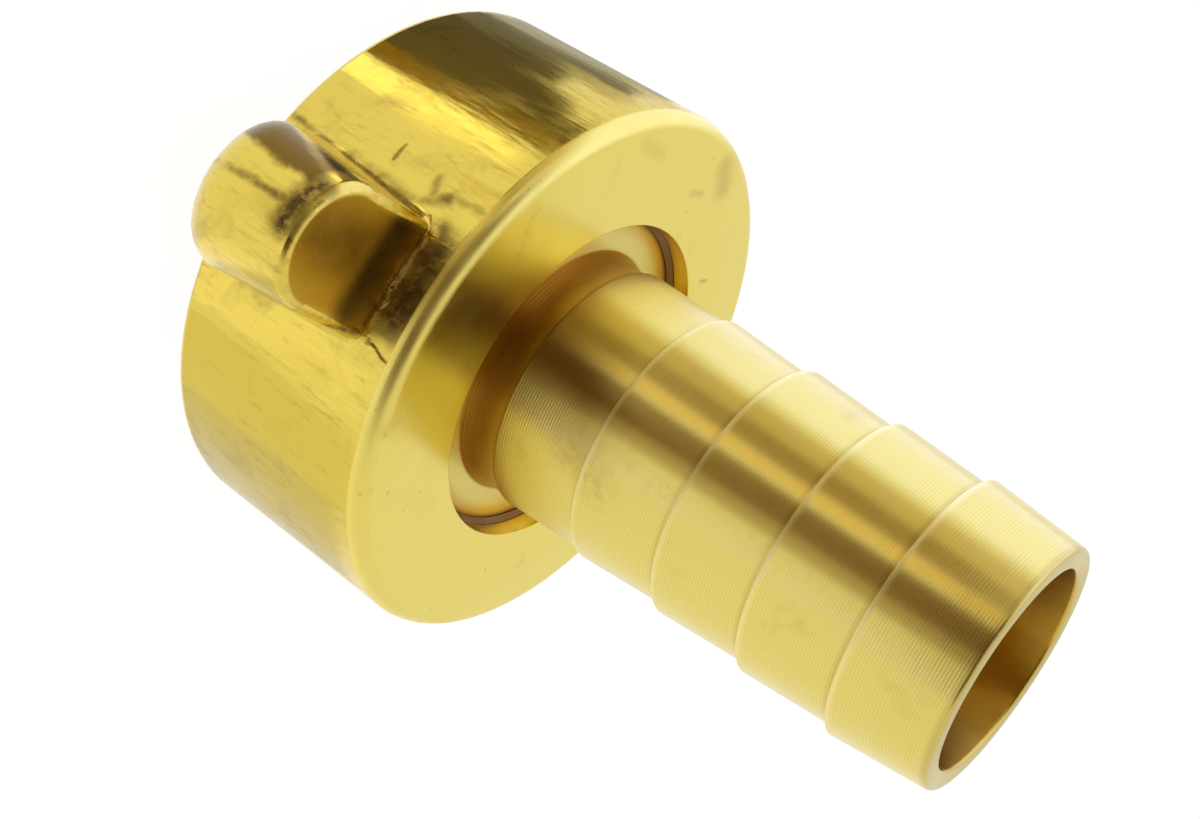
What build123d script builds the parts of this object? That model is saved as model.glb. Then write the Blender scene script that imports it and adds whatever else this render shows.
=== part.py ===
"""Lugged hose union: a barbed hose tail that swivels in a hot-forged two-lug nut.

The nut stands on its open, threaded end. The tail's flange hangs under the nut's web and clamps a
flat sealing washer against whatever the nut is screwed to. Sizes are in millimetres, +Z runs from the
nut's open face to the tail's mouth, and the two lugs lie on the X axis.
"""

import os

from build123d import *

# Nut
nut_od = 41.0
nut_length = 18.0
web_thickness = 1.8
web_hole_d = 24.8
web_hole_lip = 0.35
back_edge_radius = 1.2
front_edge_radius = 0.7

# Nut's G 1 thread, left plain at its minor diameter, with its lead-in and the relief round the washer.
# The play is what a diameter has over, or under, the thread's own.
thread_major_d = 33.249
thread_pitch = 2.309
thread_height_ratio = 1.281
entry_play = 0.75
relief_play = 0.65
relief_margin = 0.05

# Lugs: wider at the foot of the nose than at the flat back face
lug_count = 2
lug_height = 10.5
lug_setback = 3.5
lug_crest_length = 8.6
lug_back_width = 8.4
lug_front_width = 11.0
lug_nose_setback = 1.8
lug_nose_radius = 2.8
lug_back_edge_radius = 0.7
lug_root_radius = 1.0
lug_embedment = 1.6

# Hose tail
barb_d = 19.0
barb_pitch = 6.93
barb_count = 4
barb_depth = 0.5
shank_depth = 0.28
mouth_depth = 0.68
barb_land = 0.12
tail_bore_d = 14.6
mouth_chamfer = 0.3
bore_chamfer = 0.25
shank_d = 18.88
neck_foot_d = 19.2
neck_length = 3.1
neck_relief = 0.35
flange_play = 0.69
flange_thickness = 2.4
flange_chamfer = 0.4
swivel_gap = 0.05

# Sealing washer
washer_play = 0.39
washer_bore_d = 16.0
washer_thickness = 2.0
washer_gap = 0.05
washer_edge_radius = 0.3

# Levels and radii that follow from the sizes above
nut_r = nut_od / 2
thread_minor_d = thread_major_d - thread_height_ratio * thread_pitch
entry_d = thread_major_d + entry_play
relief_d = thread_major_d + relief_play
flange_d = thread_minor_d - flange_play
washer_od = thread_minor_d - washer_play
web_z = nut_length - web_thickness
entry_depth = (entry_d - thread_minor_d) / 2
lug_back_z = nut_length - lug_setback
lug_crest_r = nut_r + lug_height
lug_bed_r = nut_r - lug_embedment
flange_top_z = web_z - swivel_gap
flange_z = flange_top_z - flange_thickness
shank_z = flange_top_z + neck_length
mouth_z = shank_z + (barb_count + 1) * barb_pitch
washer_z = flange_z - washer_gap - washer_thickness
relief_z = washer_z - relief_margin

os.makedirs("parts", exist_ok=True)


def is_forged_root(edge):
    """Whether an edge joins a lug's side or nose to the nut's wall, where the flat back face doesn't."""
    middle = edge.position_at(0.5)
    on_wall = abs(Vector(middle.X, middle.Y).length - nut_r) < 1e-3
    beside_lug = abs(middle.X) > abs(middle.Y)
    return on_wall and beside_lug and front_edge_radius < middle.Z < lug_back_z - lug_back_edge_radius


# One lug: an arched section that tapers towards the back, cut by the plane of the sloping nose
with BuildPart() as lug:
    for width, level in ((lug_front_width, 0), (lug_back_width, lug_back_z)):
        crown_r = lug_crest_r - width / 2
        with BuildSketch(Plane.XY.offset(level)):
            with Locations((crown_r, 0)):
                Circle(width / 2)
            with Locations((lug_bed_r, 0)):
                Rectangle(crown_r - lug_bed_r, width, align=(Align.MIN, Align.CENTER))
    loft(ruled=True)
    nose_rise = lug_back_z - lug_crest_length - lug_nose_setback
    nose_plane = Plane(
        origin=(nut_r, 0, lug_nose_setback),
        x_dir=(0, 1, 0),
        z_dir=(nose_rise, 0, -lug_height),
    )
    split(bisect_by=nose_plane, keep=Keep.BOTTOM)
    back_face = lug.faces().sort_by(Axis.Z)[-1]
    fillet(back_face.edges().sort_by(Axis.X)[1:], lug_back_edge_radius)
    nose_face = lug.faces().filter_by(GeomType.PLANE).sort_by(Axis.Z)[0]
    fillet(nose_face.edges().sort_by(Axis.X)[1:], lug_nose_radius)

with BuildPart() as lugged_nut:
    # The seam of the barrel is turned away from the lugs
    Cylinder(
        nut_r,
        nut_length,
        rotation=(0, 0, 90),
        align=(Align.CENTER, Align.CENTER, Align.MIN),
    )
    fillet(lugged_nut.edges().sort_by(Axis.Z)[-1], back_edge_radius)
    fillet(lugged_nut.edges().sort_by(Axis.Z)[0], front_edge_radius)
    with PolarLocations(0, lug_count):
        add(lug.part)
    fillet(lugged_nut.edges().filter_by(is_forged_root), lug_root_radius)
    # Cavity: the lead-in, the thread's plain wall and the relief under the web, then the web's hole
    with BuildSketch(Plane.XZ):
        with BuildLine():
            Polyline(
                (0, 0),
                (entry_d / 2, 0),
                (thread_minor_d / 2, entry_depth),
                (thread_minor_d / 2, relief_z),
                (relief_d / 2, relief_z),
                (relief_d / 2, web_z),
                (web_hole_d / 2 - web_hole_lip, web_z),
                (web_hole_d / 2, web_z + web_hole_lip),
                (web_hole_d / 2, nut_length),
                (0, nut_length),
                close=True,
            )
        make_face()
    revolve(axis=Axis.Z, mode=Mode.SUBTRACT)

with BuildPart() as hose_tail:
    with BuildSketch(Plane.XZ):
        with BuildLine():
            Polyline(
                (tail_bore_d / 2, mouth_z - bore_chamfer),
                (tail_bore_d / 2, flange_z),
                (flange_d / 2 - flange_chamfer, flange_z),
                (flange_d / 2, flange_z + flange_chamfer),
                (flange_d / 2, flange_top_z - flange_chamfer),
                (flange_d / 2 - flange_chamfer, flange_top_z),
                (neck_foot_d / 2, flange_top_z),
            )
            ThreePointArc(
                (neck_foot_d / 2, flange_top_z),
                ((neck_foot_d + shank_d) / 4 - neck_relief, (flange_top_z + shank_z) / 2),
                (shank_d / 2, shank_z),
            )
            # Each length falls towards the mouth, and the next one starts with a sharp shoulder
            crest_radii = [shank_d / 2] + [barb_d / 2] * barb_count
            drops = [shank_depth] + [barb_depth] * (barb_count - 1) + [mouth_depth]
            profile = []
            for step, (crest_r, drop) in enumerate(zip(crest_radii, drops)):
                start_z = shank_z + step * barb_pitch
                profile += [(crest_r, start_z), (crest_r, start_z + barb_land)]
                profile += [(crest_r - drop, start_z + barb_pitch)]
            rim_r = barb_d / 2 - mouth_depth
            profile[-1] = (rim_r, mouth_z - mouth_chamfer)
            profile += [
                (rim_r - mouth_chamfer, mouth_z),
                (tail_bore_d / 2 + bore_chamfer, mouth_z),
                (tail_bore_d / 2, mouth_z - bore_chamfer),
            ]
            Polyline(*profile)
        make_face()
    revolve(axis=Axis.Z)

with BuildPart() as sealing_washer:
    with BuildSketch(Plane.XY.offset(washer_z)):
        Circle(washer_od / 2)
        Circle(washer_bore_d / 2, mode=Mode.SUBTRACT)
    extrude(amount=washer_thickness)
    fillet(sealing_washer.edges(), washer_edge_radius)

for name, piece in (
    ("lugged_nut", lugged_nut),
    ("hose_tail", hose_tail),
    ("sealing_washer", sealing_washer),
):
    piece.part.label = name
    export_step(piece.part, f"parts/{name}.step")
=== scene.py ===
"""Dresses the lugged hose union: its forged nut, turned tail and washer, and the studio around them.

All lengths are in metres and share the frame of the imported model: +Z runs from the nut's open face to
the tail's mouth, and the lugs lie on the X axis.
"""

import logging
import math
from abc import ABC, abstractmethod
from dataclasses import dataclass, field
from enum import Enum
from functools import reduce

import bmesh
import bpy
from mathutils import Matrix, Vector


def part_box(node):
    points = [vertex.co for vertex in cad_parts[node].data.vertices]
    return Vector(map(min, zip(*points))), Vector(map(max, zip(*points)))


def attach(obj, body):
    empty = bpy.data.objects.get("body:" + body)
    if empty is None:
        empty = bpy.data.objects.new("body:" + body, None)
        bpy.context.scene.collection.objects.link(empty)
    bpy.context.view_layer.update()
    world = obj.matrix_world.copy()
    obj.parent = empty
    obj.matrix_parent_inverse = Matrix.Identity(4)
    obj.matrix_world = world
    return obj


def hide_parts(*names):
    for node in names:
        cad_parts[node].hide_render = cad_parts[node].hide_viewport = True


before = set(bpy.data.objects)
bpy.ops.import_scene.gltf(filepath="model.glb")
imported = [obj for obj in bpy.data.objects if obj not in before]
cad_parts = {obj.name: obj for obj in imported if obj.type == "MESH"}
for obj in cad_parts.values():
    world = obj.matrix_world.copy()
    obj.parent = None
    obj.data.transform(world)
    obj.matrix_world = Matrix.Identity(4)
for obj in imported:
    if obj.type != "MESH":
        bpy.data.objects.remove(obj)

MM = 0.001
TINY = 1e-6
ON_PLANE = 1e-7
TOUCH = 0.01 * MM
NOISE_MEAN = 0.5
FULL_TURN = 2 * math.pi
NO_CREASE = 180
WHITE = (1.0, 1.0, 1.0)
LOG = logging.getLogger("lugged_hose_union")

Pair = tuple[float, float]
Outline = list[Pair]
Point = tuple[float, float, float]
Light = tuple[float, float, float]
Colour = tuple[float, float, float, float]
Mesh = bmesh.types.BMesh
Vert = bmesh.types.BMVert
Edge = bmesh.types.BMEdge
Object = bpy.types.Object
Material = bpy.types.Material
Node = bpy.types.Node
Socket = bpy.types.NodeSocket


class Body(Enum):
    """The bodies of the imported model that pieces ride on."""

    NUT = "nut"
    TAIL = "tail"


class Slot(Enum):
    """The record's material slots."""

    FORGED = "forged_brass"
    TURNED = "turned_brass"
    RUBBER = "washer_rubber"


# --- mesh helpers


def arc(centre: Pair, radius: float, start: float, end: float, count: int) -> Outline:
    """Gives points along an arc in the (r, z) plane.

    Args:
        centre: Centre of the arc.
        radius: Radius of the arc.
        start: First angle in degrees, from the r direction towards z.
        end: Last angle in degrees.
        count: Number of steps along the arc.

    Returns:
        count + 1 points, both ends included.
    """
    angles = [math.radians(start + (end - start) * step / count) for step in range(count + 1)]
    return [(centre[0] + radius * math.cos(a), centre[1] + radius * math.sin(a)) for a in angles]


def spin(mesh: Mesh, shape: list, angle: float, steps: int, centre: Point = (0, 0, 0)) -> None:
    """Spins vertices and edges round an upright axis, and merges the ends of a full turn."""
    bmesh.ops.spin(
        mesh,
        geom=shape,
        cent=centre,
        axis=(0, 0, 1),
        dvec=(0, 0, 0),
        angle=angle,
        steps=steps,
        use_merge=angle == FULL_TURN,
        use_duplicate=False,
    )


def lathe(outline: Outline, steps: int) -> Mesh:
    """Spins a closed outline once round Z.

    Args:
        outline: Corners (r, z) of the closed section, in order.
        steps: Number of steps round the axis.

    Returns:
        A closed mesh with its faces pointing outwards.
    """
    mesh = bmesh.new()
    ring = [mesh.verts.new((r, 0.0, z)) for r, z in outline]
    edges = [mesh.edges.new(pair) for pair in zip(ring, ring[1:] + ring[:1])]
    spin(mesh, ring + edges, FULL_TURN, steps)
    bmesh.ops.recalc_face_normals(mesh, faces=mesh.faces)
    return mesh


def linked_object(name: str, data: bpy.types.Mesh, sharp_degrees: float) -> Object:
    """Shades a mesh smooth, crisp where it bends by more than an angle, and links its object."""
    data.shade_smooth()
    data.set_sharp_from_angle(angle=math.radians(sharp_degrees))
    piece = bpy.data.objects.new(name, data)
    bpy.context.scene.collection.objects.link(piece)
    return piece


def finished_object(name: str, mesh: Mesh, sharp_degrees: float) -> Object:
    """Turns a bmesh into a smooth-shaded object at the origin and frees the bmesh.

    Args:
        name: Name of the object.
        mesh: The bmesh to use up.
        sharp_degrees: Edges that bend by more than this stay crisp.

    Returns:
        The linked object.
    """
    data = bpy.data.meshes.new(name)
    mesh.to_mesh(data)
    mesh.free()
    return linked_object(name, data, sharp_degrees)


def joined(name: str, base: Object, added: list[Object], sharp_degrees: float) -> Object:
    """Unites closed objects into one and removes the originals.

    Args:
        name: Name of the new object.
        base: The object that the others join.
        added: Closed objects that overlap the base.
        sharp_degrees: Edges that bend by more than this stay crisp.

    Returns:
        One smooth-shaded object whose mesh is the union.
    """
    for other in added:
        union = base.modifiers.new("union", "BOOLEAN")
        union.operation = "UNION"
        union.solver = "EXACT"
        union.object = other
    graph = bpy.context.evaluated_depsgraph_get()
    data = bpy.data.meshes.new_from_object(base.evaluated_get(graph))
    data.name = name
    for used in [base, *added]:
        bpy.data.objects.remove(used)
    return linked_object(name, data, sharp_degrees)


def chain(edges: list[Edge]) -> list[Vert]:
    """Orders the vertices of an open chain of edges from one end to the other."""
    left = list(edges)
    counts: dict[Vert, int] = {}
    for edge in left:
        for vert in edge.verts:
            counts[vert] = counts.get(vert, 0) + 1
    here = next(vert for vert, count in counts.items() if count == 1)
    order = [here]
    while left:
        edge = next(e for e in left if here in e.verts)
        left.remove(edge)
        here = edge.other_vert(here)
        order.append(here)
    return order


def radial(point: Vector) -> Vector:
    """Gives the unit vector from the Z axis towards a point."""
    return Vector((point.x, point.y, 0.0)).normalized()


# --- material helpers


@dataclass(frozen=True)
class Ramp:
    """A smooth step from one range of values to another, held at both ends."""

    from_min: float
    from_max: float
    to_min: float = 0.0
    to_max: float = 1.0


@dataclass(frozen=True)
class Noise:
    """The settings of a 3-D noise."""

    scale: float
    detail: float = 3.0
    roughness: float = 0.5
    distortion: float = 0.0


class Graph:
    """Builds a node tree in reading order.

    Args:
        tree: The node tree to fill, which is emptied first.
    """

    def __init__(self, tree: bpy.types.NodeTree) -> None:
        """Empties the tree."""
        self.tree = tree
        tree.nodes.clear()

    def add(self, kind: str, **settings: object) -> Node:
        """Adds a node and sets its properties.

        Args:
            kind: Blender's name of the node type, without the ShaderNode prefix.
            settings: Properties to set on the node.

        Returns:
            The new node.
        """
        node = self.tree.nodes.new("ShaderNode" + kind)
        for name, value in settings.items():
            setattr(node, name, value)
        return node

    def feed(self, socket: Socket, value: object) -> None:
        """Links an output to a socket, or sets a plain value on it."""
        if isinstance(value, Socket):
            self.tree.links.new(value, socket)
        else:
            socket.default_value = value

    def filled(self, node: Node, **values: object) -> Node:
        """Feeds a node's inputs, such as base_color for Base Color, and returns the node."""
        for name, value in values.items():
            self.feed(node.inputs[name.replace("_", " ").title()], value)
        return node

    def place(self) -> Socket:
        """Gives the shaded point in the object's frame."""
        return self.add("TexCoord").outputs["Object"]

    def split(self, vector: Socket) -> tuple[Socket, ...]:
        """Splits a vector into x, y and z."""
        return tuple(self.filled(self.add("SeparateXYZ"), vector=vector).outputs)

    def math(self, operation: str, *values: object, clamp: bool = False) -> Socket:
        """Adds a Math node and returns its output."""
        node = self.add("Math", operation=operation, use_clamp=clamp)
        for socket, value in zip(node.inputs, values):
            self.feed(socket, value)
        return node.outputs[0]

    def product(self, *values: object) -> Socket:
        """Multiplies two or more values."""
        return reduce(lambda first, second: self.math("MULTIPLY", first, second), values)

    def strongest(self, *masks: object) -> Socket:
        """Gives the strongest of several masks."""
        return reduce(lambda first, second: self.math("MAXIMUM", first, second), masks)

    def distance(self, x: Socket, y: Socket) -> Socket:
        """Gives the distance from the Z axis."""
        return self.math("SQRT", self.math("ADD", self.product(x, x), self.product(y, y)))

    def vector_math(self, operation: str, *values: object) -> Node:
        """Adds a Vector Math node and returns it."""
        node = self.add("VectorMath", operation=operation)
        for socket, value in zip(node.inputs, values):
            self.feed(socket, value)
        return node

    def scaled(self, vector: object, factor: object) -> Socket:
        """Scales a vector."""
        return self.filled(self.vector_math("SCALE", vector), scale=factor).outputs["Vector"]

    def near(self, place: Socket, start: Point, end: Point, width: float) -> Socket:
        """Gives 1 on the line between two points, falling to 0 at a distance from it.

        Args:
            place: Position of the shaded point.
            start: First end of the line.
            end: Last end of the line.
            width: Distance at which the result reaches 0.

        Returns:
            The falling share.
        """
        along = Vector(end) - Vector(start)
        offset = self.vector_math("SUBTRACT", place, start).outputs["Vector"]
        reach = self.vector_math("DOT_PRODUCT", offset, tuple(along)).outputs["Value"]
        share = self.math("DIVIDE", reach, along.length_squared, clamp=True)
        gap = self.vector_math("DISTANCE", offset, self.scaled(tuple(along), share)).outputs["Value"]
        return self.ramp(gap, Ramp(0.0, width, 1.0, 0.0))

    def noise(self, vector: Socket, noise: Noise, output: str = "Fac") -> Socket:
        """Adds a 3-D noise and returns its value, or its colour."""
        return self.filled(self.add("TexNoise"), vector=vector, **vars(noise)).outputs[output]

    def stretched(self, vector: Socket, scale: Point) -> Socket:
        """Scales coordinates along their axes."""
        return self.filled(self.add("Mapping"), vector=vector, scale=scale).outputs[0]

    def ramp(self, value: object, ramp: Ramp) -> Socket:
        """Sends a value through a smooth step."""
        node = self.add("MapRange", interpolation_type="SMOOTHSTEP")
        return self.filled(node, value=value, **vars(ramp)).outputs[0]

    def mix(self, factor: object, first: object, second: object) -> Socket:
        """Mixes two colours and returns the result."""
        node = self.add("Mix", data_type="RGBA")
        return self.filled(node, factor=factor, a=first, b=second).outputs["Result"]

    def bump(self, height: object, distance: float, normal: Socket | None = None) -> Socket:
        """Adds a Bump node of full strength and returns its normal."""
        node = self.filled(self.add("Bump"), height=height, distance=distance)
        if normal is not None:
            self.feed(node.inputs["Normal"], normal)
        return node.outputs[0]

    def principled(self, **values: object) -> None:
        """Makes a Principled shader the material's result."""
        self.show(self.filled(self.add("BsdfPrincipled"), **values))

    def blend(self, factor: Socket, first: Node, second: Node) -> Node:
        """Blends two shaders and returns the node."""
        node = self.add("MixShader")
        for socket, value in zip(node.inputs, (factor, first.outputs[0], second.outputs[0])):
            self.feed(socket, value)
        return node

    def show(self, shader: Node, output: str = "OutputMaterial") -> None:
        """Makes a shader the tree's result."""
        self.feed(self.add(output).inputs[0], shader.outputs[0])


def new_material(name: str) -> tuple[Material, Graph]:
    """Makes an empty node material and its graph."""
    material = bpy.data.materials.new(name)
    material.use_nodes = True
    return material, Graph(material.node_tree)


@dataclass(frozen=True)
class Mark:
    """A mark along the line between two points, in millimetres, that fades out to its width."""

    start: Point
    end: Point
    width: float
    strength: float

    def mask(self, g: Graph, place: Socket) -> Socket:
        """Gives how strongly the mark covers a place."""
        start, end = (tuple(value * MM for value in point) for point in (self.start, self.end))
        return g.product(g.near(place, start, end, self.width * MM), self.strength)


# The burr where the flat back of the +X lug meets the wall: bright on the wall, dark on the flat
BURR = Mark((20.45, -3.2, 14.6), (20.65, 3.0, 14.6), 0.42, 0.85)


@dataclass(frozen=True)
class ForgedBrass:
    """Hot-forged brass, tumbled bright, with die marks along the axis, brown flash and stains, and painted
    dark reflections on the lugs.
    """

    clean: Colour = (0.765, 0.585, 0.10, 1)
    stained: Colour = (0.30, 0.19, 0.05, 1)
    burnt: Colour = (0.085, 0.042, 0.015, 1)
    # Painted dark reflection along one side of each lug's crown
    tinted: Colour = (0.14, 0.068, 0.006, 1)
    burred: Colour = (0.80, 0.66, 0.26, 1)
    name: str = "forged_brass_tumbled"
    die_stretch: Point = (1, 1, 0.2)
    waves: Noise = Noise(380, 3, 0.55)
    grain: Noise = Noise(2600, 3, 0.6)
    patches: Noise = Noise(170, 5, 0.65, 0.5)
    fine: Noise = Noise(1300, 4, 0.7)
    wobble: Noise = Noise(900)
    stray: float = 0.7 * MM
    lug_foot_half: float = 5.5 * MM
    lug_taper: float = 0.0897
    band_sway: float = 0.45
    band_start: Ramp = Ramp(-1.06, -0.92)
    band_end: Ramp = Ramp(-0.66, -0.54, 1, 0)
    band_reach: Ramp = Ramp(24 * MM, 26.5 * MM)
    band_fade: Ramp = Ramp(12.5 * MM, 13.4 * MM, 0.92, 0.1)
    flash_gaps: Ramp = Ramp(0.32, 0.55, 0.6, 1.0)
    burr_gaps: Ramp = Ramp(0.38, 0.5)
    stain: Ramp = Ramp(0.54, 0.76, 0, 0.55)
    specks: Ramp = Ramp(0.69, 0.75, 0, 0.6)
    dirt_lines: Ramp = Ramp(0.5, 0.78)
    dirt_patches: Ramp = Ramp(0.4, 0.62, 0.12, 0.5)
    wear: Ramp = Ramp(0.48, 0.62)
    wear_height: Ramp = Ramp(4 * MM, 13 * MM, 0.1, 0.9)
    wear_roughness: float = 0.22
    mark_roughness: float = 0.3
    roughness: Ramp = Ramp(0.3, 0.7, 0.13, 0.23)
    wave_depth: float = 0.085 * MM
    grain_depth: float = 0.008 * MM
    mark_depth: float = 0.05 * MM
    marks: tuple[Mark, ...] = (
        Mark((28.8, -0.5, 4.2), (31.0, -0.9, 8.5), 0.42, 0.55),
        Mark((31.0, -0.9, 8.5), (31.0, -1.1, 13.8), 0.5, 0.7),
        # These two paint a dark reflection along the crown's rounded rear edge
        Mark((30.0, -2.6, 13.5), (30.6, -1.6, 13.4), 1.5, 1.0),
        Mark((30.6, -1.6, 13.4), (31.0, 0.1, 13.4), 1.4, 1.0),
        # These two darken a band on the wall behind the lug's flat back
        Mark((20.1, -4.2, 15.2), (20.3, -3.0, 16.6), 1.3, 0.75),
        Mark((20.2, -3.2, 16.0), (20.4, 1.8, 16.0), 2.1, 0.88),
        Mark((19.8, -5.4, 0.8), (20.5, -5.2, 6.3), 0.45, 0.7),
        Mark((20.5, -5.2, 6.3), (20.5, -4.9, 12.0), 1.05, 0.95),
        Mark((20.5, -4.9, 12.0), (19.6, -6.1, 14.2), 0.8, 0.75),
        Mark((19.6, -5.8, 13.0), (19.3, -6.9, 12.6), 0.55, 0.5),
        Mark((19.6, -6.2, 14.3), (19.5, -6.5, 16.6), 0.55, 0.4),
        Mark((19.5, -6.3, 8.9), (19.1, -7.6, 8.9), 0.26, 0.7),
        Mark((23.5, 4.1, 14.0), (20.3, 3.8, 15.0), 0.5, 0.9),
        Mark((20.3, 3.8, 15.0), (19.9, 4.3, 17.2), 0.26, 0.85),
        Mark((26.0, 5.2, 8.0), (21.2, 4.8, 13.4), 0.8, 0.45),
        Mark((29.0, 4.2, 4.4), (28.0, 4.9, 4.6), 0.7, 0.6),
    )

    def warped(self, g: Graph, place: Socket) -> Socket:
        """Shifts places a little, so that straight marks get ragged outlines."""
        wobble = g.noise(place, self.wobble, "Color")
        shift = g.vector_math("SUBTRACT", wobble, (NOISE_MEAN,) * 3).outputs[0]
        return g.vector_math("ADD", place, g.scaled(shift, self.stray)).outputs[0]

    def band(self, g: Graph, x: Socket, y: Socket, z: Socket, patches: Socket) -> Socket:
        """Gives the painted dark reflection, a band along one side of each lug's crown."""
        half = g.math("SUBTRACT", self.lug_foot_half, g.product(z, self.lug_taper))
        side = g.math("DIVIDE", g.product(y, g.math("SIGN", x)), half)
        side = g.math("ADD", side, g.product(g.math("SUBTRACT", patches, NOISE_MEAN), self.band_sway))
        return g.product(
            g.ramp(side, self.band_end),
            g.ramp(side, self.band_start),
            g.ramp(g.math("ABSOLUTE", x), self.band_reach),
            g.ramp(z, self.band_fade),
        )

    def material(self) -> Material:
        """Builds the material."""
        material, g = new_material(self.name)
        place = g.place()
        x, y, z = g.split(place)
        drawn = g.stretched(place, self.die_stretch)
        waves = g.noise(drawn, self.waves)
        grain = g.noise(drawn, self.grain)
        patches = g.noise(place, self.patches)
        fine = g.noise(place, self.fine)
        warped = self.warped(g, place)
        # Flash scars, and the painted dark reflection on the crown's rear edge
        flash_and_reflection = g.strongest(*(mark.mask(g, warped) for mark in self.marks))
        flash_and_reflection = g.product(flash_and_reflection, g.ramp(fine, self.flash_gaps))
        burr = g.product(BURR.mask(g, warped), g.ramp(fine, self.burr_gaps))

        dirt = g.product(g.ramp(grain, self.dirt_lines), g.ramp(patches, self.dirt_patches))
        soil = g.strongest(g.ramp(patches, self.stain), g.ramp(fine, self.specks), dirt)
        colour = g.mix(soil, self.clean, self.stained)
        # Paints the dark reflection along one side of each lug's crown
        colour = g.mix(self.band(g, x, y, z, patches), colour, self.tinted)
        # Darkens the flash scars and paints the dark reflection on the crown's rear edge
        colour = g.mix(flash_and_reflection, colour, self.burnt)
        colour = g.mix(burr, colour, self.burred)

        worn = g.product(g.ramp(waves, self.wear), g.ramp(z, self.wear_height))
        rough = g.math("ADD", g.ramp(grain, self.roughness), g.product(worn, self.wear_roughness))
        rough = g.math("ADD", rough, g.product(g.strongest(flash_and_reflection, burr), self.mark_roughness))
        normal = g.bump(waves, self.wave_depth)
        normal = g.bump(grain, self.grain_depth, normal)
        normal = g.bump(g.math("SUBTRACT", burr, flash_and_reflection), self.mark_depth, normal)
        g.principled(metallic=1, base_color=colour, roughness=rough, normal=normal)
        return material


@dataclass(frozen=True)
class FacedBrass:
    """The nut's machined faces: satin, with faint rings and soft stains, and browner in the web's hole."""

    clean: Colour = (0.83, 0.68, 0.155, 1)
    stained: Colour = (0.50, 0.35, 0.085, 1)
    brown: Colour = (0.80, 0.56, 0.055, 1)
    shadowed: Colour = (0.16, 0.07, 0.01, 1)
    name: str = "brass_faced"
    patches: Noise = Noise(210, 5, 0.62, 0.3)
    fine: Noise = Noise(1500, 2)
    stain: Ramp = Ramp(0.60, 0.78, 0, 0.3)
    specks: Ramp = Ramp(0.70, 0.76, 0, 0.5)
    hole_wall: Ramp = Ramp(12.42 * MM, 12.5 * MM, 1, 0)
    hole_lip: Ramp = Ramp(16.6 * MM, 16.7 * MM, 1, 0)
    roughness: Ramp = Ramp(0.3, 0.7, 0.16, 0.28)
    rim_roughness: Ramp = Ramp(19.3 * MM, 19.7 * MM, 0, 0.14)
    feed: float = 0.11 * MM
    ridge: float = 0.0008 * MM
    marks: tuple[Mark, ...] = (
        Mark((-3.2, -17.4, 18), (-1.6, -18.6, 18), 1.6, 0.5),
        Mark((-0.9, -16.1, 18), (0.6, -15.6, 18), 0.5, 0.35),
        Mark((7.0, -16.2, 18), (9.5, -16.0, 18), 1.0, 0.22),
        Mark((-8.2, -11.2, 18), (-8.9, -11.5, 18), 0.3, 0.7),
    )

    def material(self) -> Material:
        """Builds the material."""
        material, g = new_material(self.name)
        place = g.place()
        x, y, z = g.split(place)
        radius = g.distance(x, y)
        rings = g.math("SINE", g.product(radius, FULL_TURN / self.feed))
        patches = g.noise(place, self.patches)
        specks = g.ramp(g.noise(place, self.fine), self.specks)
        stain = g.strongest(g.ramp(patches, self.stain), specks)
        spots = g.strongest(stain, *(mark.mask(g, place) for mark in self.marks))
        colour = g.mix(spots, self.clean, self.stained)
        wall = g.ramp(radius, self.hole_wall)
        colour = g.mix(wall, colour, self.brown)
        colour = g.mix(g.product(wall, g.ramp(z, self.hole_lip)), colour, self.shadowed)
        rough = g.math("ADD", g.ramp(patches, self.roughness), g.ramp(radius, self.rim_roughness))
        g.principled(metallic=1, base_color=colour, roughness=rough, normal=g.bump(rings, self.ridge))
        return material


# The flat backs of the lugs, struck smooth by the die; their brown tone is partly painted dark reflection
STRUCK_BRASS_DARK_REFLECTION = FacedBrass(
    name="brass_struck_dark_reflection",
    clean=(0.61, 0.38, 0.05, 1),
    stained=(0.15, 0.085, 0.02, 1),
    specks=Ramp(0.70, 0.76, 0, 0),
    roughness=Ramp(0.3, 0.7, 0.07, 0.19),
    ridge=0.0,
    # The first mark paints a dark reflection across the +X lug's flat, near its foot
    marks=(Mark((23.1, -5.0, 14.5), (23.1, 2.6, 14.5), 2.1, 0.85), BURR),
)


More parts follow.
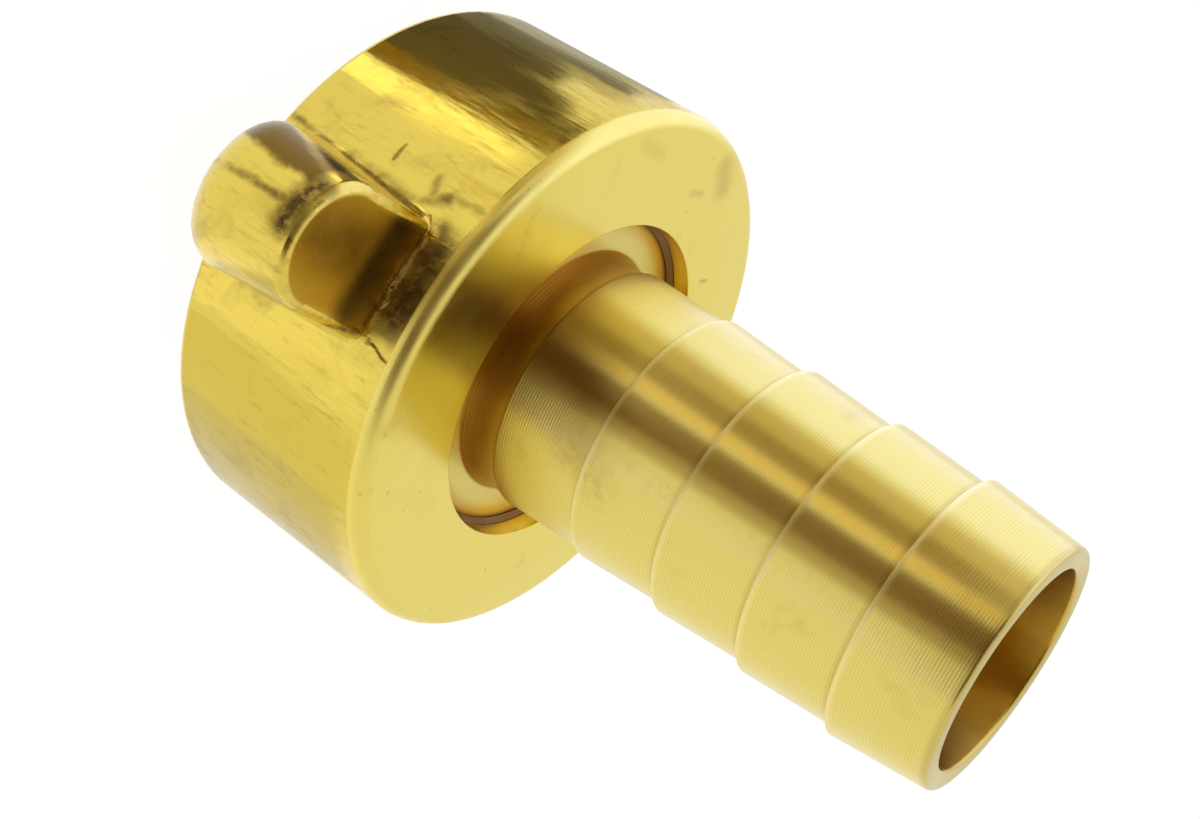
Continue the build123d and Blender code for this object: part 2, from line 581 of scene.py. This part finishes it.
@dataclass(frozen=True)
class TurnedBrass:
    """Brass straight off the lathe, with fine lines round the axis that spread light along it.

    A painted highlight runs along the crests of the barbs, painted shade lies just below each shoulder,
    and the neck, bore and flange are browner.
    """

    clean: Colour = (0.79, 0.65, 0.165, 1)
    dull: Colour = (0.45, 0.34, 0.10, 1)
    # Dark tone for the stain and painted reflection near the nut, and for the painted shade below each
    # shoulder
    tarnished: Colour = (0.34, 0.21, 0.05, 1)
    # Pale colour of the painted highlight along the barbs' crests
    worn: Colour = (0.92, 0.80, 0.33, 1)
    brown: Colour = (0.62, 0.39, 0.055, 1)
    shadowed: Colour = (0.16, 0.07, 0.01, 1)
    name: str = "brass_turned"
    feed: float = 0.212 * MM
    groove: float = 0.0025 * MM
    line_stretch: Point = (0.15, 0.15, 1)
    uneven: Noise = Noise(2500, 2)
    line_strength: Ramp = Ramp(0.3, 0.7, 0.3, 1.1)
    line_height: Ramp = Ramp(26 * MM, 46 * MM, 1.3, 0.9)
    line_colour: Ramp = Ramp(-1, 1, 0, 0.26)
    patches: Noise = Noise(300, 4, 0.6)
    dull_patches: Ramp = Ramp(0.58, 0.8, 0, 0.3)
    fine: Noise = Noise(1400, 3, 0.6)
    mark_gaps: Ramp = Ramp(0.35, 0.65)
    marks: tuple[Mark, ...] = (
        Mark((8.6, 3.4, 24.5), (8.2, 4.3, 27.5), 2.4, 0.4),
        Mark((8.9, 2.4, 31.0), (9.0, 1.8, 32.0), 1.2, 0.3),
    )
    # Faint stain on the first length near the nut, deepened into a painted dark reflection
    smoke: Mark = Mark((8.8, -3.0, 19.5), (9.0, 1.2, 26.0), 4.6, 0.85)
    smoke_fade: Ramp = Ramp(23.5 * MM, 30 * MM, 1, 0)
    first_shoulder: float = 26.18 * MM
    pitch: float = 6.93 * MM
    barbed: Ramp = Ramp(25.68 * MM, 26.18 * MM)
    crest: Ramp = Ramp(0.1 * MM, 0.5 * MM, 1, 0)
    crest_cover: float = 0.85
    corner: Ramp = Ramp(6.27 * MM, 6.666 * MM)
    corner_cover: float = 0.28
    bore: Ramp = Ramp(7.32 * MM, 7.42 * MM, 1, 0)
    in_nut: Ramp = Ramp(19.15 * MM, 19.3 * MM, 1, 0)
    neck: Ramp = Ramp(9.62 * MM, 9.8 * MM, 1, 0)
    flange: Ramp = Ramp(10.7 * MM, 11.8 * MM)
    flange_rim: Ramp = Ramp(11.6 * MM, 12.2 * MM)
    roughness: Ramp = Ramp(0, 1, 0.29, 0.46)
    anisotropy: float = 0.8
    quarter_turn: float = 0.25

    def lines(self, g: Graph, place: Socket, along: Socket, bore: Socket) -> Socket:
        """Gives the height of the turned lines, which the bore doesn't have."""
        rings = g.math("SINE", g.product(along, FULL_TURN / self.feed))
        uneven = g.noise(g.stretched(place, self.line_stretch), self.uneven)
        keen = g.product(g.ramp(along, self.line_height), g.math("SUBTRACT", 1, bore))
        return g.product(rings, g.ramp(uneven, self.line_strength), keen)

    def material(self) -> Material:
        """Builds the material."""
        material, g = new_material(self.name)
        place = g.place()
        x, y, along = g.split(place)
        radius = g.distance(x, y)
        bore = g.ramp(radius, self.bore)
        lines = self.lines(g, place, along, bore)
        spots = g.strongest(*(mark.mask(g, place) for mark in self.marks))
        spots = g.product(spots, g.ramp(g.noise(place, self.fine), self.mark_gaps))
        patches = g.ramp(g.noise(place, self.patches), self.dull_patches)
        colour = g.mix(g.strongest(patches, spots), self.clean, self.dull)
        # Faint stain and painted dark reflection on the first length near the nut
        smoke = g.product(self.smoke.mask(g, place), g.ramp(along, self.smoke_fade))
        colour = g.mix(smoke, colour, self.tarnished)
        colour = g.mix(g.ramp(lines, self.line_colour), colour, self.dull)

        # Two lengths are added, so that the remainder is also right below the first shoulder
        above = g.math("SUBTRACT", along, self.first_shoulder - 2 * self.pitch)
        length = g.math("MODULO", above, self.pitch)
        barbs = g.math("SUBTRACT", g.ramp(along, self.barbed), bore)
        # Painted highlight along each barb's crest, which is also rougher
        crest = g.math("MULTIPLY", barbs, g.ramp(length, self.crest), clamp=True)
        colour = g.mix(g.product(crest, self.crest_cover), colour, self.worn)
        # Painted shade just below each shoulder
        shade = g.product(barbs, g.ramp(length, self.corner), self.corner_cover)
        colour = g.mix(shade, colour, self.tarnished)
        in_nut = g.ramp(along, self.in_nut)
        neck, flange, rim = (
            g.product(in_nut, g.ramp(radius, ramp)) for ramp in (self.neck, self.flange, self.flange_rim)
        )
        colour = g.mix(g.strongest(neck, bore, flange), colour, self.brown)
        colour = g.mix(rim, colour, self.shadowed)
        g.principled(
            metallic=1,
            base_color=colour,
            roughness=g.ramp(crest, self.roughness),
            normal=g.bump(lines, self.groove),
            anisotropic=self.anisotropy,
            anisotropic_rotation=self.quarter_turn,
            tangent=g.add("Tangent", direction_type="RADIAL", axis="Z").outputs[0],
        )
        return material


@dataclass(frozen=True)
class BlackRubber:
    """Matt black moulded rubber."""

    colour: Colour = (0.02, 0.02, 0.02, 1)
    roughness: float = 0.6
    speckle: Noise = Noise(4000, 2)
    speckle_depth: float = 0.01 * MM
    name: str = "rubber_black"

    def material(self) -> Material:
        """Builds the material."""
        material, g = new_material(self.name)
        normal = g.bump(g.noise(g.place(), self.speckle), self.speckle_depth)
        g.principled(base_color=self.colour, roughness=self.roughness, normal=normal)
        return material


# --- pieces


@dataclass
class Piece(ABC):
    """What every piece has: the node it stands for, its body and its slot."""

    node: str
    body: Body
    slot: Slot
    steps: int = 256
    sharp_degrees: float = 30

    @abstractmethod
    def build(self) -> Object:
        """Builds the piece's object."""

    def deliver(self) -> None:
        piece = self.build()
        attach(piece, self.body.value)
        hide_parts(self.node)
        LOG.info("%s: %d faces", piece.name, len(piece.data.polygons))


@dataclass(frozen=True)
class Root:
    """The round between a lug and the nut's wall, at one vertex of the lug's foot."""

    centre: Vector
    up: Vector
    away: Vector
    radius: float
    span: float

    def point(self, share: float) -> Vector:
        """Gives a point of the round: 1 is on the lug and 0 on the wall."""
        angle = self.span * share
        return self.centre - (self.up * math.cos(angle) + self.away * math.sin(angle)) * self.radius


@dataclass
class LuggedNut(Piece):
    """The forged nut: a threaded barrel with a web at the back and two lugs."""

    web: float = 1.8 * MM
    web_hole_d: float = 24.8 * MM
    web_hole_lip: float = 0.35 * MM
    web_hole_edge: float = 0.1 * MM
    back_edge: float = 1.2 * MM
    front_edge: float = 0.7 * MM
    thread_major_d: float = 33.249 * MM
    thread_minor_d: float = 30.291 * MM
    thread_pitch: float = 2.309 * MM
    thread_flat: float = 0.12
    run_out_pitches: float = 0.5
    entry_d: float = 34.0 * MM
    entry_steps: int = 10
    relief_d: float = 33.9 * MM
    relief_z: float = 11.65 * MM
    rings_a_pitch: int = 12
    lug_count: int = 2
    lug_setback: float = 3.5 * MM
    lug_crest_length: float = 8.6 * MM
    lug_back_width: float = 8.4 * MM
    lug_front_width: float = 11.0 * MM
    lug_arch_steps: int = 36
    lug_nose_setback: float = 1.8 * MM
    lug_nose_radius: float = 2.8 * MM
    lug_back_edge: float = 0.7 * MM
    lug_edge_segments: int = 8
    lug_side_cuts: int = 12
    lug_root: float = 1.0 * MM
    lug_back_root: float = 0.12 * MM
    lug_root_steps: int = 7
    lug_fitting_rounds: int = 4
    lug_bed: float = 1.6 * MM
    lug_lap: float = 0.015 * MM
    lug_sink: float = 0.8 * MM
    facing_up: float = 0.1
    facing_back: float = 0.99

    def __post_init__(self) -> None:
        """Reads the nut's outer size from the frame."""
        _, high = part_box(self.node)
        self.radius = high.y
        self.length = high.z
        self.crest = high.x
        self.lug_back_z = self.length - self.lug_setback
        self.lug_bed_r = self.radius - self.lug_bed

    def thread_radius(self, turn: float, z: float) -> float:
        """Gives the thread's radius at a place.

        Args:
            turn: Angle about the axis as a share of a full turn.
            z: Height of the place.

        Returns:
            The distance from the axis of the thread's surface, which runs out at the relief.
        """
        phase = (z / self.thread_pitch - turn) % 1.0
        ridge = 1 - abs(2 * phase - 1)
        share = min(max((ridge - self.thread_flat) / (1 - 2 * self.thread_flat), 0.0), 1.0)
        depth = (self.thread_major_d - self.thread_minor_d) / 2
        run_out = min((self.relief_z - z) / (self.run_out_pitches * self.thread_pitch), 1.0)
        return self.thread_minor_d / 2 + depth * share * max(run_out, 0.0)

    def outline(self) -> Outline:
        """Gives the closed section of the barrel, with rings on the wall for the thread."""
        entry_depth = (self.entry_d - self.thread_minor_d) / 2
        minor_r = self.thread_minor_d / 2
        rings = round((self.relief_z - entry_depth) / self.thread_pitch * self.rings_a_pitch)
        hole_r = self.web_hole_d / 2
        web_z = self.length - self.web
        edge = self.front_edge
        outline = arc((self.radius - edge, edge), edge, -90, 0, 6)
        edge = self.back_edge
        outline += arc((self.radius - edge, self.length - edge), edge, 0, 90, 14)
        edge = self.web_hole_edge
        outline += arc((hole_r + edge, self.length - edge), edge, 90, 180, 4)
        outline += [
            (hole_r, web_z + self.web_hole_lip),
            (hole_r - self.web_hole_lip, web_z),
            (self.relief_d / 2, web_z),
            (self.relief_d / 2, self.relief_z),
        ]
        for ring in range(rings + 1):
            outline.append((minor_r, self.relief_z + (entry_depth - self.relief_z) * ring / rings))
        for step in range(1, self.entry_steps + 1):
            share = step / self.entry_steps
            outline.append((minor_r + entry_depth * share, entry_depth * (1 - share)))
        return outline

    def barrel(self) -> Mesh:
        """Turns the barrel and winds the thread into its wall.

        Returns:
            The closed mesh of the nut without its lugs.
        """
        mesh = lathe(self.outline(), self.steps)
        for vert in mesh.verts:
            reach = math.hypot(vert.co.x, vert.co.y)
            inside = reach < self.entry_d / 2 - TOUCH
            if inside and vert.co.z < self.relief_z - TOUCH:
                turn = math.atan2(vert.co.y, vert.co.x) / FULL_TURN
                depth = max(reach, self.thread_radius(turn, vert.co.z)) - reach
                vert.co += radial(vert.co) * depth
        return mesh

    def lug_blank(self) -> Mesh:
        """Builds a lug's arched prism, cut off at its sloping nose and open at its ends and foot.

        Returns:
            The open shell of one lug on the +X side.
        """
        mesh = bmesh.new()
        half = self.lug_front_width / 2
        first = mesh.verts.new((self.crest - half, -half, 0.0))
        spin(mesh, [first], math.pi, self.lug_arch_steps, (self.crest - half, 0, 0))
        for end in [vert for vert in mesh.verts if len(vert.link_edges) == 1]:
            mesh.edges.new((end, mesh.verts.new((self.lug_bed_r, end.co.y, 0.0))))
        grown = bmesh.ops.extrude_edge_only(mesh, edges=mesh.edges[:])["geom"]
        share = self.lug_back_width / self.lug_front_width
        for vert in (item for item in grown if isinstance(item, Vert)):
            on_bed = vert.co.x < self.lug_bed_r + TINY
            vert.co.y *= share
            vert.co.x = self.lug_bed_r if on_bed else self.crest - (self.crest - vert.co.x) * share
            vert.co.z = self.lug_back_z
        rise = self.crest - self.radius
        run = self.lug_back_z - self.lug_crest_length - self.lug_nose_setback
        bmesh.ops.bisect_plane(
            mesh,
            geom=mesh.verts[:] + mesh.edges[:] + mesh.faces[:],
            dist=ON_PLANE,
            plane_co=(self.radius, 0, self.lug_nose_setback),
            plane_no=(run, 0, -rise),
            clear_outer=True,
        )
        return mesh

    def lug(self) -> Mesh:
        """Finishes one lug: caps, rounded outlines and the flare of its foot.

        Returns:
            The closed mesh of one lug on the +X side.
        """
        mesh = self.lug_blank()
        rim = [edge for edge in mesh.edges if edge.is_boundary]
        back = [e for e in rim if all(v.co.z > self.lug_back_z - TINY for v in e.verts)]
        sides = [e for e in rim if all(v.co.x < self.lug_bed_r + TINY for v in e.verts)]
        nose = [e for e in rim if e not in back and e not in sides]
        for outline in (back, nose):
            mesh.faces.new(chain(outline))
        bmesh.ops.recalc_face_normals(mesh, faces=mesh.faces)
        for outline, radius in ((back, self.lug_back_edge), (nose, self.lug_nose_radius)):
            bmesh.ops.bevel(
                mesh,
                geom=[edge for edge in outline if edge.is_valid],
                offset=radius,
                offset_type="OFFSET",
                affect="EDGES",
                segments=self.lug_edge_segments,
                profile=0.5,
                material=-1,
                clamp_overlap=False,
            )
        self.flare(mesh)
        return mesh

    def fitted_root(self, vert: Vert, normal: Vector) -> Root:
        """Slides a vertex of the foot along the lug until a round from there just meets the wall."""
        backness = min(max(normal.z, 0.0), 1.0)
        root = self.lug_root + (self.lug_back_root - self.lug_root) * backness
        for _ in range(self.lug_fitting_rounds):
            up = radial(vert.co)
            facing = normal.dot(up)
            fall = (normal * facing - up).normalized()
            height = math.hypot(vert.co.x, vert.co.y) - self.radius - root * (1 - facing)
            vert.co += fall * (height / -fall.dot(up))
        away = (normal - up * facing).normalized()
        return Root(vert.co + normal * root, up, away, root, math.acos(facing))

    def flare(self, mesh: Mesh) -> None:
        """Rounds a lug's foot into the nut's wall and closes the lug below it.

        Args:
            mesh: The lug's shell, open at the foot, which is changed in place.
        """
        long_sides = [e for e in mesh.edges if e.is_boundary and e.calc_length() > self.lug_crest_length]
        bmesh.ops.subdivide_edges(mesh, edges=long_sides, cuts=self.lug_side_cuts)
        rim = [edge for edge in mesh.edges if edge.is_boundary]
        outward: dict[Vert, Vector] = {}
        for vert in {vert for edge in rim for vert in edge.verts}:
            outward[vert] = sum((face.normal for face in vert.link_faces), Vector()).normalized()
        roots = {vert: self.fitted_root(vert, normal) for vert, normal in outward.items()}
        for step in range(1, self.lug_root_steps + 1):
            grown = bmesh.ops.extrude_edge_only(mesh, edges=rim)["geom"]
            moved: dict[Vert, Root] = {}
            for vert in (item for item in grown if isinstance(item, Vert)):
                old = min(roots, key=lambda other: (other.co - vert.co).length_squared)
                moved[vert] = roots[old]
                vert.co = roots[old].point(1 - step / self.lug_root_steps)
            roots = moved
            rim = [item for item in grown if isinstance(item, Edge) and item.is_boundary]
        for vert in roots:
            vert.co = radial(vert.co) * (self.radius + self.lug_lap) + Vector((0, 0, vert.co.z))
        grown = bmesh.ops.extrude_edge_only(mesh, edges=rim)["geom"]
        for vert in (item for item in grown if isinstance(item, Vert)):
            vert.co -= radial(vert.co) * self.lug_sink
        bmesh.ops.holes_fill(mesh, edges=[edge for edge in mesh.edges if edge.is_boundary], sides=0)
        bmesh.ops.recalc_face_normals(mesh, faces=mesh.faces)

    def build(self) -> Object:
        """Builds the nut's object with its lugs."""
        barrel = finished_object("barrel", self.barrel(), self.sharp_degrees)
        lugs = []
        for number in range(self.lug_count):
            mesh = self.lug()
            turn = Matrix.Rotation(FULL_TURN * number / self.lug_count, 4, "Z")
            bmesh.ops.transform(mesh, matrix=turn, verts=mesh.verts)
            lugs.append(finished_object(f"lug_{number}", mesh, self.sharp_degrees))
        piece = joined("nut_forging", barrel, lugs, self.sharp_degrees)
        finishes = (ForgedBrass(), FacedBrass(), STRUCK_BRASS_DARK_REFLECTION)
        for finish in finishes:
            piece.data.materials.append(finish.material())
        forged, faced, struck = range(len(finishes))
        for face in piece.data.polygons:
            inside = math.hypot(face.center.x, face.center.y) < self.radius - self.lug_sink
            on_back = face.center.z > self.length - self.back_edge and face.normal.z > self.facing_up
            outside = struck if face.normal.z > self.facing_back else forged
            face.material_index = faced if inside or on_back else outside
        return piece


@dataclass
class HoseTail(Piece):
    """The turned tail: flange, neck, tapering lengths with sharp shoulders, and a through bore."""

    sharp_degrees: float = 25
    barb_d: float = 19.0 * MM
    barb_pitch: float = 6.93 * MM
    barb_count: int = 4
    barb_depth: float = 0.5 * MM
    shank_depth: float = 0.28 * MM
    mouth_depth: float = 0.68 * MM
    barb_land: float = 0.12 * MM
    barb_edge: float = 0.06 * MM
    bore_d: float = 14.6 * MM
    mouth_edge: float = 0.3 * MM
    mouth_lean: float = 5
    bore_edge: float = 0.25 * MM
    shank_d: float = 18.88 * MM
    neck_foot_d: float = 19.2 * MM
    neck_length: float = 3.1 * MM
    neck_relief: float = 0.35 * MM
    neck_steps: int = 12
    flange_thickness: float = 2.4 * MM
    flange_edge: float = 0.4 * MM

    def neck(self, foot_z: float) -> Outline:
        """Gives the neck's outline from its foot up, hollowed as a shallow parabola."""
        foot_r, top_r = self.neck_foot_d / 2, self.shank_d / 2
        outline: Outline = []
        for step in range(self.neck_steps + 1):
            t = step / self.neck_steps
            sag = self.neck_relief * 4 * t * (1 - t)
            outline.append((foot_r + (top_r - foot_r) * t - sag, foot_z + self.neck_length * t))
        return outline

    def outline(self) -> Outline:
        """Gives the closed section of the tail."""
        low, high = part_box(self.node)
        flange_r, bore_r = high.x, self.bore_d / 2
        flange_top = low.z + self.flange_thickness
        shank_z = flange_top + self.neck_length
        edge = self.flange_edge
        outline: Outline = [(bore_r, low.z)]
        outline += arc((flange_r - edge, low.z + edge), edge, -90, 0, 4)
        outline += arc((flange_r - edge, flange_top - edge), edge, 0, 90, 4)
        outline += self.neck(flange_top)
        crests = [self.shank_d / 2] + [self.barb_d / 2] * self.barb_count
        drops = [self.shank_depth] + [self.barb_depth] * (self.barb_count - 1) + [self.mouth_depth]
        edge = self.barb_edge
        for step, (crest_r, drop) in enumerate(zip(crests, drops)):
            start_z = shank_z + step * self.barb_pitch
            if step:
                outline += arc((crest_r - edge, start_z + edge), edge, -90, 0, 3)
            outline.append((crest_r, start_z + self.barb_land))
            outline.append((crest_r - drop, start_z + self.barb_pitch))
        # The rounded rim takes the place of the last length's end
        outline.pop()
        edge = self.mouth_edge
        rim_r = self.barb_d / 2 - self.mouth_depth
        outline += arc((rim_r - edge, high.z - edge), edge, self.mouth_lean, 90, 6)
        edge = self.bore_edge
        outline += arc((bore_r + edge, high.z - edge), edge, 90, 180, 5)
        return outline

    def build(self) -> Object:
        """Builds the tail's object."""
        piece = finished_object("tail_turned", lathe(self.outline(), self.steps), self.sharp_degrees)
        piece.data.materials.append(TurnedBrass().material())
        return piece


@dataclass
class SealingWasher(Piece):
    """The flat washer under the tail's flange."""

    steps: int = 128
    sharp_degrees: float = 60
    bore_d: float = 16.0 * MM
    edge: float = 0.3 * MM

    def build(self) -> Object:
        """Builds the washer's object."""
        low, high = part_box(self.node)
        inner, outer, edge = self.bore_d / 2, high.x, self.edge
        outline: Outline = []
        for r, z, start in (
            (outer - edge, low.z + edge, -90),
            (outer - edge, high.z - edge, 0),
            (inner + edge, high.z - edge, 90),
            (inner + edge, low.z + edge, 180),
        ):
            outline += arc((r, z), edge, start, start + 90, 4)
        piece = finished_object("washer_flat", lathe(outline, self.steps), self.sharp_degrees)
        piece.data.materials.append(BlackRubber().material())
        return piece


# --- studio


@dataclass(frozen=True)
class Card:
    """A card that only gloss sees: a strip spun about the axis from one azimuth to another."""

    name: str
    start: Pair
    end: Pair
    azimuths: Pair
    colour: Light
    steps: int = 12

    def place(self) -> None:
        """Builds the card and marks it as stage."""
        mesh = bmesh.new()
        first, last = (math.radians(angle) for angle in self.azimuths)
        rim = [mesh.verts.new((r, 0.0, z)) for r, z in (self.start, self.end)]
        bmesh.ops.transform(mesh, matrix=Matrix.Rotation(first, 4, "Z"), verts=rim)
        spin(mesh, [*rim, mesh.edges.new(rim)], last - first, self.steps)
        show_to_gloss_only(finished_object(self.name, mesh, NO_CREASE), self.colour)


@dataclass(frozen=True)
class WallCard:
    """A card that lies beside the nut where its wall, between two angles, mirrors the floor."""

    name: str
    angles: Pair
    colour: Light
    strength: float
    reach: float
    wall_r: float = 20.6 * MM
    height: float = 0.3 * MM
    steps: int = 10

    def place(self, camera_at: Vector) -> None:
        """Lays the card, as seen from the camera's side."""
        mesh = bmesh.new()
        inner, outer = [], []
        for step in range(self.steps + 1):
            angle = self.angles[0] + (self.angles[1] - self.angles[0]) * step / self.steps
            normal = Vector((math.cos(math.radians(angle)), math.sin(math.radians(angle)), 0))
            foot = normal * self.wall_r
            ahead = (foot - camera_at).reflect(normal)
            ahead.z = 0
            foot.z = self.height
            inner.append(mesh.verts.new(foot))
            outer.append(mesh.verts.new(foot + ahead.normalized() * self.reach))
        for step in range(self.steps):
            mesh.faces.new((inner[step], inner[step + 1], outer[step + 1], outer[step]))
        show_to_gloss_only(finished_object(self.name, mesh, NO_CREASE), self.colour, self.strength)


def show_to_gloss_only(card: Object, colour: Light, strength: float = 1.0) -> None:
    """Makes a card glow, seen by glossy rays alone, and marks it as stage."""
    material, g = new_material(card.name)
    g.show(g.filled(g.add("Emission"), color=(*colour, 1), strength=strength))
    card.data.materials.append(material)
    card.visible_camera = False
    card.visible_diffuse = False
    card.visible_transmission = False
    card.visible_shadow = False


@dataclass
class Studio:
    """Floor, light and camera."""

    camera_at: Vector = field(default_factory=lambda: Vector((105.89, -4.67, 73.60)) * MM)
    looks_at: Vector = field(default_factory=lambda: Vector((0.0, 0.498, 20.711)) * MM)
    roll_degrees: float = 123.556
    lens_mm: float = 51.0
    sensor_mm: float = 36.0
    clip_start: float = 5 * MM
    floor_r: float = 4.0
    floor_drop: float = 0.02 * MM
    floor_segments: int = 64
    floor_colour: Colour = (0.85, 0.85, 0.85, 1)
    background_share: float = 0.85
    glow: float = 1.08
    sky_seen: float = 1.0
    sky_light: float = 0.928
    card_floor_z: float = 0.4 * MM
    card_inner_r: float = 52 * MM
    card_outer_r: float = 320 * MM
    card_levels: tuple[float, ...] = (110 * MM, 260 * MM, 1100 * MM)
    lit: Light = (1.28, 1.38, 2.2)
    dim: Light = (0.14, 0.08, 0.05)
    dark: Light = (0.05, 0.034, 0.024)
    sallow: Light = (1.0, 0.85, 0.7)

    def camera(self) -> None:
        """Places the camera and makes it the scene's."""
        data = bpy.data.cameras.new("camera")
        data.sensor_width = self.sensor_mm
        data.lens = self.lens_mm
        data.clip_start = self.clip_start
        camera = bpy.data.objects.new("camera", data)
        bpy.context.scene.collection.objects.link(camera)
        ahead = (self.looks_at - self.camera_at).normalized()
        upright = ahead.to_track_quat("-Z", "Y").to_matrix().to_4x4()
        roll = Matrix.Rotation(math.radians(self.roll_degrees), 4, "Z")
        camera.matrix_world = Matrix.Translation(self.camera_at) @ upright @ roll
        bpy.context.scene.camera = camera

    @staticmethod
    def seen_directly(g: Graph, share: float) -> Socket:
        """Gives the share for rays from the camera, gloss or glass, and 0 for all others."""
        path = g.add("LightPath").outputs
        seen = g.strongest(*(path[f"Is {kind} Ray"] for kind in ("Camera", "Glossy", "Transmission")))
        return g.product(seen, share)

    def floor(self) -> None:
        """Lays the white floor, which keeps a faint shadow."""
        mesh = bmesh.new()
        bmesh.ops.create_circle(
            mesh, cap_ends=True, segments=self.floor_segments, radius=self.floor_r
        )
        bmesh.ops.translate(mesh, verts=mesh.verts, vec=(0, 0, -self.floor_drop))
        floor = finished_object("floor", mesh, NO_CREASE)
        material, g = new_material("floor_white")
        paper = g.filled(g.add("BsdfDiffuse"), color=self.floor_colour)
        glow = g.filled(g.add("Emission"), strength=self.glow)
        g.show(g.blend(self.seen_directly(g, self.background_share), paper, glow))
        floor.data.materials.append(material)

    def world(self) -> None:
        """Surrounds the scene with an even white, a little weaker as a light than as a ground."""
        world = bpy.data.worlds.new("studio")
        bpy.context.scene.world = world
        world.use_nodes = True
        g = Graph(world.node_tree)
        light, seen = (
            g.filled(g.add("Background"), color=(*WHITE, 1), strength=strength)
            for strength in (self.sky_light, self.sky_seen)
        )
        g.show(g.blend(g.add("LightPath").outputs["Is Camera Ray"], light, seen), "OutputWorld")

    def cards(self) -> None:
        """Sets the light and dark cards that the metal mirrors."""
        floor, inner, outer = self.card_floor_z, self.card_inner_r, self.card_outer_r
        knee, brow, top = self.card_levels
        for name, azimuths, colour in (
            ("key", (-142, -80), self.lit),
            ("amber", (-72, -54), (0.72, 0.58, 0.38)),
            ("brown", (-54, -36), (0.34, 0.22, 0.10)),
            ("slit", (-34, -27), (1.10, 0.80, 0.34)),
            ("dark", (-22, 1), (0.24, 0.15, 0.09)),
            ("soft", (1, 13), (0.55, 0.46, 0.36)),
            ("side", (29, 41), (1.05, 1.05, 1.30)),
        ):
            Card(name + "_floor", (inner, floor), (outer, floor), azimuths, colour).place()
            Card(name + "_wall", (outer, floor), (outer, knee), azimuths, colour).place()
        for name, azimuths, low, high, colour in (
            ("key_high", (-142, -80), knee, top, self.lit),
            ("dark_left", (-34, -20), knee, brow, self.dim),
            ("dark_middle", (-20, 24), knee, brow, self.dark),
            ("dark_right", (24, 42), knee, brow, self.dim),
            ("dark_high", (-62, 56), brow, top, self.dim),
        ):
            Card(name, (outer, low), (outer, high), azimuths, colour).place()
        for name, angles, colour, strength, reach in (
            ("flag_pale", (-80, -68), WHITE, 0.50, 27),
            ("flag_cool", (-68, -58), WHITE, 0.18, 25),
            ("flag_dark", (-58, -50), self.sallow, 0.12, 17),
            ("flag_long", (-50, -45), self.sallow, 0.12, 23),
            ("flag_longest", (-45, -39), self.sallow, 0.13, 31),
            ("flag_amber", (-39, -34.5), (1.0, 0.64, 0.20), 0.28, 31),
            ("strip_bright", (-33.5, -28), (1.0, 0.97, 0.8), 1.7, 24),
            ("strip_side", (15, 24), WHITE, 1.15, 27),
            ("flag_warm", (26, 43), (1.0, 0.98, 0.80), 0.90, 31),
            ("flag_side", (43, 71), WHITE, 0.78, 27),
        ):
            WallCard(name, angles, colour, strength, reach * MM).place(self.camera_at)

    def build(self) -> None:
        """Sets up the studio."""
        self.camera()
        self.world()
        self.floor()
        self.cards()
        bpy.context.scene.view_settings.view_transform = "Standard"


def main() -> None:
    """Builds the studio and the pieces in order."""
    logging.basicConfig(level=logging.INFO, format="%(name)s: %(message)s")
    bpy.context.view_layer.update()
    Studio().build()
    for piece in (
        LuggedNut("lugged_nut", Body.NUT, Slot.FORGED),
        HoseTail("hose_tail", Body.TAIL, Slot.TURNED),
        SealingWasher("sealing_washer", Body.NUT, Slot.RUBBER),
    ):
        piece.deliver()


if __name__ == "__main__":
    main()
